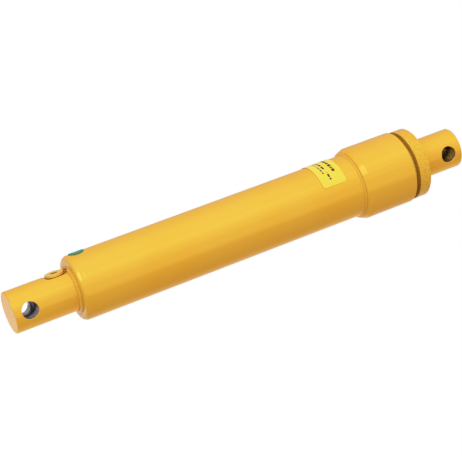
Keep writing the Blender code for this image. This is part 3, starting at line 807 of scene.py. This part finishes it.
def build_nut(paint, bare, shaded, relief_lit_paint):
    """Round packing nut: threaded neck, relief, collar with pin-spanner holes and a wiper pocket."""
    neck_low = NUT_LOW + 0.8
    outline = [(NUT_LOW, NUT_BORE_R), (NUT_LOW, NUT_NECK_R - 0.8), (neck_low, NUT_NECK_R)]
    outline += run(neck_low + 0.1, HOUSING_HIGH, NUT_NECK_R, 0.16)
    outline += rounded([
        (HOUSING_HIGH + 0.8, NUT_RELIEF_R), (NUT_COLLAR, NUT_RELIEF_R, 0.5), (NUT_COLLAR, NUT_R, 0.4),
        (NUT_FACE, NUT_R, 0.4), (NUT_FACE, WIPER_POCKET_R, 0.4), (WIPER_POCKET, WIPER_POCKET_R),
    ])
    outline += [(WIPER_POCKET, NUT_BORE_R)]
    lead = lead_of("nut_turn")
    cut = thread(NUT_NECK_R, neck_low - lead, HOUSING_HIGH + 0.1, lead, 0.85)
    nut = lathe("packing_nut_piece", outline, SEGMENTS, cut)
    flare_r = SPANNER_HOLE_R + 0.6
    hole = [(NUT_FACE - 6, 0.0), (NUT_FACE - 5.2, SPANNER_HOLE_R), (NUT_FACE - 0.5, SPANNER_HOLE_R)]
    hole += [(NUT_FACE + 0.2, flare_r), (NUT_FACE + 2, flare_r), (NUT_FACE + 2, 0.0)]
    for number in range(SPANNER_HOLES):
        angle = FULL_TURN * (number + 0.5) / SPANNER_HOLES
        across = SPANNER_CIRCLE_R * MM * Vector((0.0, math.cos(angle), math.sin(angle)))
        carve(nut, place(lathe(f"spanner_hole_{number}", hole, 40), Matrix.Translation(across)))

    def choose(centre, normal):
        if centre.x < HOUSING_HIGH + 0.1 or from_axis(centre) < WIPER_POCKET_R + 0.1:
            return bare
        if centre.x > NUT_COLLAR + 0.25:
            return paint
        # Painted light and shade in the groove: paler paint on the relief at its bottom, darker paint on the
        # collar's face.
        return relief_lit_paint if from_axis(centre) < NUT_RELIEF_R + 0.1 else shaded

    adopt(nut, "packing_nut", paint, bare, shaded, relief_lit_paint, choose=choose)


def build_ram(paint, bare, polished, eye, face_paint):
    """Ram: spigot for the stop collar, ground steel that slides in the gland, painted end with an eye."""
    shoulder = COLLAR_HIGH + GAP
    painted_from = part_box("rod_wiper")[1].x / MM + 0.1
    groove_low, groove_high, _ = extent("snap_ring")
    groove_low, groove_high = groove_low - GAP, groove_high + GAP
    outline = rounded([
        (RAM_LOW, 0.0), (RAM_LOW, SPIGOT_R, 0.8), (groove_low, SPIGOT_R), (groove_low, SNAP_GROOVE_R, 0.2),
        (groove_high, SNAP_GROOVE_R, 0.2), (groove_high, SPIGOT_R), (shoulder, SPIGOT_R, 0.3),
        (shoulder, RAM_R, 0.6), *run(shoulder + 2, painted_from, RAM_R, 20.0),
        *run(painted_from + 2, RAM_HIGH - 3, RAM_R, 2.5), (RAM_HIGH, RAM_R, 1.1), (RAM_HIGH, 0.0),
    ])
    ram = lathe("ram_piece", outline)
    carve(ram, eye_cutter("eye", RAM_EYE_X, RAM_R, RAM_TURN))

    def choose(centre, normal):
        up = math.cos(RAM_TURN) * centre.z - math.sin(RAM_TURN) * centre.y
        if math.hypot(centre.x - RAM_EYE_X, up) < PIN_HOLE_R + 0.05:
            return eye
        if centre.x < shoulder:
            return bare
        if centre.x > RAM_HIGH - 0.05:
            return face_paint
        return polished if centre.x < painted_from else paint

    adopt(ram, "ram", paint, bare, polished, eye, face_paint, choose=choose)


def build_bushing(metal):
    """Flanged guide bushing, the ram's bearing."""
    bore = RAM_R + GAP
    low, high, flange_r = extent("guide_bushing")
    flange = high - BUSH_FLANGE
    outline = rounded([
        (low, bore, 0.3), (low, BUSH_R, 0.4), (flange, BUSH_R, 0.2), (flange, flange_r, 0.2),
        (high, flange_r, 0.3), (high, bore, 0.3),
    ])
    adopt(lathe("guide_bushing_piece", outline), "guide_bushing", metal)


def build_packing(packing):
    """V-packing: male adaptor, V-rings and female adaptor, nested along the ram."""
    bore = RAM_R + GAP
    low, high, outer = extent("packing_male_adaptor")
    middle = (bore + outer) / 2
    male = rounded([
        (low, bore, 0.2), (low, outer, 0.2), (high - V_DEPTH, outer), (high, middle, 0.4),
        (high - V_DEPTH, bore),
    ])
    adopt(lathe("packing_male_adaptor_piece", male), "packing_male_adaptor", packing)
    for number in range(V_RINGS):
        node = f"v_ring_{number + 1}"
        low, high, outer = extent(node)
        chevron = rounded([
            (low, bore, 0.15), (low + V_DEPTH, middle, 0.3), (low, outer, 0.15),
            (high - V_DEPTH, outer, 0.15), (high, middle, 0.4), (high - V_DEPTH, bore, 0.15),
        ])
        adopt(lathe(node + "_piece", chevron), node, packing)
    low, high, outer = extent("packing_female_adaptor")
    female = rounded([
        (low, bore, 0.15), (low + V_DEPTH, middle, 0.3), (low, outer, 0.15), (high, outer, 0.3),
        (high, bore, 0.3),
    ])
    adopt(lathe("packing_female_adaptor_piece", female), "packing_female_adaptor", packing)


def build_stop(steel, phenolic, oxide):
    """Stop collar on the ram's spigot, with its split wear ring and the snap ring that holds it."""
    low, high, wear_r = extent("wear_ring")
    groove_low, groove_high = low - GAP, high + GAP
    collar = rounded([
        (COLLAR_LOW, SPIGOT_R + GAP, 0.3), (COLLAR_LOW, COLLAR_R, 0.9), (groove_low, COLLAR_R, 0.2),
        (groove_low, WEAR_GROOVE_R, 0.2), (groove_high, WEAR_GROOVE_R, 0.2), (groove_high, COLLAR_R, 0.2),
        (COLLAR_HIGH, COLLAR_R, 0.9), (COLLAR_HIGH, SPIGOT_R + GAP, 0.3),
    ])
    adopt(lathe("stop_collar_piece", collar), "stop_collar", steel)
    inner = WEAR_GROOVE_R + GAP
    band = rounded([(low, inner, 0.2), (low, wear_r, 0.4), (high, wear_r, 0.4), (high, inner, 0.2)])
    adopt(lathe("wear_ring_piece", band, SEGMENTS, None, -86, 266), "wear_ring", phenolic)

    low, high, snap_r = extent("snap_ring")
    inner = SNAP_GROOVE_R + GAP
    ring = rounded([(low, inner, 0.2), (low, snap_r, 0.3), (high, snap_r, 0.3), (high, inner, 0.2)])

    def taper(x, r, angle):
        """The ring narrows from its back towards its open ends."""
        return r - 1.1 * (0.5 - 0.5 * math.sin(angle)) if r > 17.0 else r

    adopt(lathe("snap_ring_piece", ring, SEGMENTS, taper, -65, 245), "snap_ring", oxide)


def build_wiper(urethane):
    """Rod wiper in the nut's pocket, with a lip that meets the ram."""
    low, high, outer = extent("rod_wiper")
    bore = RAM_R + GAP
    face = NUT_FACE - 0.5
    outline = rounded([
        (low, bore + 0.8, 0.2), (low, outer, 0.4), (face, outer, 0.4), (face, bore + 2.9, 0.5),
        (face - 0.9, bore + 2.2, 0.3), (high, bore + 0.7, 0.3), (high, bore, 0.2),
        (NUT_FACE - 1.5, bore + 0.8, 0.3),
    ])
    adopt(lathe("rod_wiper_piece", outline, FINE_SEGMENTS), "rod_wiper", urethane)


def build_plug(paint, bare, shaded, rubber):
    """Hollow-hex plug with a threaded shank, and its O-ring."""
    head, neck_low, neck_high = PLUG_HEAD_Z, PLUG_LOW + 0.8, SEAT_Z + 0.2
    outline = [(PLUG_LOW, 0.0), (PLUG_LOW, PLUG_THREAD_R - 0.8), (neck_low, PLUG_THREAD_R)]
    outline += run(neck_low + 0.1, neck_high, PLUG_THREAD_R, 0.12)
    outline += rounded([
        (neck_high + 0.3, PLUG_NECK_R), (head, PLUG_NECK_R, 0.2), (head, PLUG_HEAD_R, 0.25),
        (PLUG_HIGH, PLUG_HEAD_R, 0.4), (PLUG_HIGH, 4.35, 0.3), (PLUG_HIGH - 0.5, 3.9),
        (PLUG_HIGH - 0.5, 0.0),
    ])
    lead = lead_of("plug_turn")
    cut = thread(PLUG_THREAD_R, PLUG_LOW + 0.6 - lead, neck_high + 0.1, lead, 0.55)
    plug = lathe("port_plug_piece", outline, SMALL_SEGMENTS, cut)
    socket = [(PLUG_HIGH - 5.6, 0.0), (PLUG_HIGH - 5.0, HEX_R), (PLUG_HIGH + 2, HEX_R), (PLUG_HIGH + 2, 0.0)]
    carve(plug, lathe("hex_socket", socket, 6))
    stand_up(plug, PORT_X)

    def choose(centre, normal):
        if centre.z < head + 0.05:
            return bare
        # Painted shade in the hex socket and on the lowest band of the head.
        in_hex = math.hypot(centre.x - PORT_X, centre.y) < HEX_R + 0.1 and centre.z < PLUG_HIGH - 0.4
        return shaded if in_hex or centre.z < head + 0.5 else paint

    adopt(plug, "port_plug", paint, bare, shaded, choose=choose)

    low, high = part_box("plug_o_ring")
    section = circle((low.z + high.z) / 2 / MM, O_RING_R, O_RING_SECTION_R, 16)
    adopt(stand_up(lathe("plug_o_ring_piece", section, SMALL_SEGMENTS), PORT_X), "plug_o_ring", rubber)


def build_label(film, ink):
    """Yellow label bent over the barrel, with rows of plain dark bars in place of print."""
    low, high, _ = extent("barrel_label")
    outline = rounded_rectangle(high - low, LABEL_ARC * TUBE_R, LABEL_CORNER_R)
    sheet = wrapped("barrel_label_piece", (low + high) / 2, math.pi / 2, outline, TUBE_R + GAP, STICKER_R)
    adopt(sheet, "barrel_label", film)

    rng = random.Random(7)
    joined = bmesh.new()
    for across, height, first, last in BAR_ROWS:
        angle = first
        while angle < last:
            reach = min(last - angle, rng.uniform(3.2, 9.5))
            arc = math.radians(reach) * TUBE_R
            middle = math.radians(angle + reach / 2)
            outline = rounded_rectangle(height, arc, min(height, arc) * 0.25, 3)
            slices = max(2, round(arc))
            bar = wrapped("bar", low + across, middle, outline, STICKER_R, STICKER_R + INK, slices)
            joined.from_mesh(bar.data)
            bpy.data.objects.remove(bar)
            angle += reach + rng.uniform(1.4, 2.4)
    marks = finish_mesh("label_bars", joined)
    marks.data.materials.append(ink)
    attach(marks, BODY_OF["barrel_label"])


def build_dot(paper):
    """Round inspection sticker on the barrel."""
    low, high, _ = extent("inspection_dot")
    outline = circle(0.0, 0.0, (high - low) / 2, 64)
    dot = wrapped("inspection_dot_piece", (low + high) / 2, DOT_ANGLE, outline, TUBE_R + GAP, STICKER_R, 24)
    adopt(dot, "inspection_dot", paper)


# ---------------------------------------------------------------- studio

OBJECT_CENTRE = (cad_box[0] + cad_box[1]) / 2

# Brightness that the tone curve shows as pure white.
WHITE = 1.85

# The floor is dim in a strip before the object, a painted shadow: (from, to) of each change in y, in metres.
FLOOR_FRONT = (-0.125, -0.065)
FLOOR_BACK = (-0.025, 0.0)
FLOOR_DIM, FLOOR_BRIGHT = 0.58, 1.05

# Surroundings: (direction from, to, strength from, to) of each change in brightness.
PANEL = (0.13, 0.18, 1.05, 1.28)
OVERHEAD = (0.41, 0.46, 0.0, 0.28)
BACK_FADE = (-0.3, 0.9, 1.0, 0.52)

# Viewpoint: place in metres, degrees from +Y towards +X, degrees down, and degrees of roll.
CAMERA_PLACE = (-0.27954, -1.26206, 0.29251)
CAMERA_HEADING, CAMERA_DOWN, CAMERA_ROLL = 20.94686, 12.25354, -15.95366
CAMERA_LENS = 118.0
CAMERA_FAR = 200.0


def build_floor():
    """Plain white light table just under the gland housing, dimmer close to the object: a painted shadow
    seen in reflections and bounce light, while the camera sees even white.
    """
    s = Shader("floor_paper", Roughness=0.9)
    split = s.node("ShaderNodeSeparateXYZ", {"Vector": s.place}).outputs
    front = s.band(split["Y"], *FLOOR_FRONT, FLOOR_BRIGHT, FLOOR_DIM)
    back = s.band(split["Y"], *FLOOR_BACK, FLOOR_DIM, FLOOR_BRIGHT)
    far = s.math("MAXIMUM", front, back)
    seen = s.node("ShaderNodeLightPath").outputs["Is Camera Ray"]
    strength = s.node("ShaderNodeMix", {0: seen, 2: far, 3: WHITE}).outputs[0]
    glow = s.node("ShaderNodeEmission", {"Strength": strength})
    s.tree.links.new(glow.outputs[0], s.tree.nodes["Material Output"].inputs["Surface"])
    bm = bmesh.new()
    bmesh.ops.create_grid(bm, x_segments=1, y_segments=1, size=60.0)
    floor = place(finish_mesh("floor", bm), Matrix.Translation((0, 0, -(HOUSING_R + GAP) * MM)))
    floor.data.materials.append(s.material)


def softbox(name, towards, distance, width, height, power):
    """Rectangular area light that looks at the middle of the object."""
    data = bpy.data.lights.new(name, "AREA")
    data.shape = "RECTANGLE"
    data.size, data.size_y = width, height
    data.energy = power
    light = bpy.data.objects.new(name, data)
    bpy.context.scene.collection.objects.link(light)
    direction = Vector(towards).normalized()
    light.location = OBJECT_CENTRE + direction * distance
    light.rotation_euler = (-direction).to_track_quat("-Z", "Y").to_euler()


def build_world():
    """White surroundings for the camera. The object is lit by a wide pale overhead that dims to the back."""
    world = bpy.data.worlds.new("studio")
    world.use_nodes = True
    bpy.context.scene.world = world
    nodes, links = world.node_tree.nodes, world.node_tree.links

    def ramp(value, *limits):
        made = nodes.new("ShaderNodeMapRange")
        made.interpolation_type = "SMOOTHSTEP"
        for socket, number in zip(("From Min", "From Max", "To Min", "To Max"), limits):
            made.inputs[socket].default_value = number
        links.new(value, made.inputs["Value"])
        return made.outputs["Result"]

    def join(operation, a, b):
        made = nodes.new("ShaderNodeMath")
        made.operation = operation
        links.new(a, made.inputs[0])
        links.new(b, made.inputs[1])
        return made.outputs[0]

    split = nodes.new("ShaderNodeSeparateXYZ")
    links.new(nodes.new("ShaderNodeTexCoord").outputs["Generated"], split.inputs[0])
    panel = ramp(split.outputs["Z"], *PANEL)
    overhead = ramp(split.outputs["Z"], *OVERHEAD)
    fade = ramp(split.outputs["Y"], *BACK_FADE)
    mix = nodes.new("ShaderNodeMix")
    links.new(nodes.new("ShaderNodeLightPath").outputs["Is Camera Ray"], mix.inputs[0])
    links.new(join("MULTIPLY", join("ADD", panel, overhead), fade), mix.inputs[2])
    mix.inputs[3].default_value = WHITE
    links.new(mix.outputs[0], nodes["Background"].inputs["Strength"])
    nodes["Background"].inputs["Color"].default_value = (1.0, 1.0, 1.0, 1.0)


def set_tone():
    """Plain transform with a soft shoulder, out = x / (1 + x^3)^(1/3), that ends at white."""
    view = bpy.context.scene.view_settings
    view.view_transform = "Standard"
    view.use_curve_mapping = True
    curves = view.curve_mapping
    curves.white_level = (WHITE, WHITE, WHITE)
    curve = curves.curves[3]
    for x in (0.15, 0.3, 0.45, 0.6, 0.8, 1.0, 1.2, 1.4, 1.6):
        curve.points.new(x / WHITE, x / (1 + x ** 3) ** (1 / 3))
    curve.points[-1].location = (1.0, 1.0)
    curves.update()


def build_camera():
    """The photograph's viewpoint: from the front, above, rolled so that the ram climbs to the right."""
    data = bpy.data.cameras.new("camera")
    data.sensor_width = 36.0
    data.lens = CAMERA_LENS
    data.clip_end = CAMERA_FAR
    camera = bpy.data.objects.new("camera", data)
    bpy.context.scene.collection.objects.link(camera)
    heading = Matrix.Rotation(-math.radians(CAMERA_HEADING), 4, "Z")
    tilt = Matrix.Rotation(math.pi / 2 - math.radians(CAMERA_DOWN), 4, "X")
    roll = Matrix.Rotation(math.radians(CAMERA_ROLL), 4, "Z")
    camera.matrix_world = Matrix.Translation(CAMERA_PLACE) @ heading @ tilt @ roll
    bpy.context.scene.camera = camera


# ---------------------------------------------------------------- everything

def build_object():
    paint = enamel("yellow_enamel")
    # On welds and in creases: rougher grain, and a darker colour that is painted shade.
    weld_shade_paint = enamel("yellow_enamel_painted_shade_on_weld", peel=0.00003, grain=0.00004, grime=0.08, shade=0.04,
                        metallic=0.12, colours=ENAMEL_CREASE_SHADE)
    # On the cap's face: a darker colour that is painted shade.
    cap_shade_paint = enamel("yellow_enamel_painted_shade_on_cap", peel=0.00002, grain=0.00003, grime=0.12, shade=0.1,
                       metallic=0.08, colours=ENAMEL_CAP_SHADE)
    face_paint = enamel("yellow_enamel_on_sawn_face", peel=0.00003, grain=0.00004, grime=0.4, metallic=0.3)
    plug_paint = enamel("yellow_enamel_on_plug", peel=0.00002, grain=0.00001, grime=0.1, metallic=0.15,
                        colours=ENAMEL_PLUG)
    nut_paint = enamel("yellow_enamel_on_nut", peel=0.00004, grain=0.0002, grime=0.6, metallic=0.3,
                       colours=ENAMEL_NUT)
    # At the bottom of the nut's groove: a paler colour that is painted light.
    relief_lit_paint = enamel("yellow_enamel_painted_light_in_relief", peel=0.00002, grain=0.00003, grime=0.1, metallic=0.0,
                          colours=ENAMEL_RELIEF_LIT)
    # On the collar's face in the nut's groove: painted shade.
    groove_shade_paint = enamel("yellow_enamel_painted_shade_in_groove", peel=0.00002, grain=0.00003, grime=0.3, shade=0.5,
                          metallic=0.1, colours=ENAMEL_DULL)
    # In the spotface, the hex socket and at the housing's rim: painted shade.
    shaded = enamel("yellow_enamel_painted_shade_in_recess", peel=0.00002, grain=0.00003, grime=0.3, shade=0.8,
                    metallic=0.1, colours=ENAMEL_DULL)
    bare = turned_steel("turned_steel", (0.46, 0.45, 0.43), 0.36, 0.00003, 0.35)
    polished = turned_steel("ground_ram_steel", (0.62, 0.62, 0.61), 0.16, 0.000002, 0.05)
    base_eye = eye_steel("base_eye_steel", dark=(0.010, 0.008, 0.010), light=(0.72, 0.66, 0.62),
                         middle=6.0, tilt=0.9, reach=13.0, drill=1100.0)
    ram_eye = eye_steel("ram_eye_steel", dark=(0.02, 0.012, 0.004), light=(0.78, 0.55, 0.19),
                        middle=5.0, tilt=0.8, reach=13.0, drill=620.0)
    build_base_stub(paint, bare, base_eye, shaded, face_paint)
    build_base_cap(cap_shade_paint, bare, weld_shade_paint)
    build_tube(paint, bare, weld_shade_paint)
    build_housing(paint, bare, shaded, weld_shade_paint)
    build_nut(nut_paint, bare, groove_shade_paint, relief_lit_paint)
    build_ram(paint, bare, polished, ram_eye, face_paint)
    build_bushing(bronze())
    build_packing(woven("packing_fabric", (0.40, 0.27, 0.15), (0.17, 0.11, 0.06), 0.7))
    build_stop(bare, woven("phenolic_cloth", (0.42, 0.20, 0.08), (0.24, 0.10, 0.035), 0.5, 0.8), blackened())
    build_wiper(moulded("wiper_urethane", (0.10, 0.16, 0.30), 0.42, (0.35, 0.37, 0.40), 0.000015))
    rubber = moulded("o_ring_rubber", (0.022, 0.022, 0.023), 0.5, (0.12, 0.12, 0.12), 0.00001)
    build_plug(plug_paint, bare, shaded, rubber)
    build_label(vinyl(), label_ink())
    build_dot(dot_paper(middle_x("inspection_dot"), DOT_ANGLE))


def build_studio():
    build_floor()
    build_world()
    softbox("key", (0.349, -0.640, 0.684), 1.3, 1.2, 0.25, 0.2)
    softbox("side", (-0.62, -0.54, 0.57), 1.2, 0.5, 0.5, 1.4)
    softbox("window", (-0.252, -0.703, 0.662), 1.2, 0.26, 0.62, 0.6)
    build_camera()
    set_tone()


build_object()
build_studio()
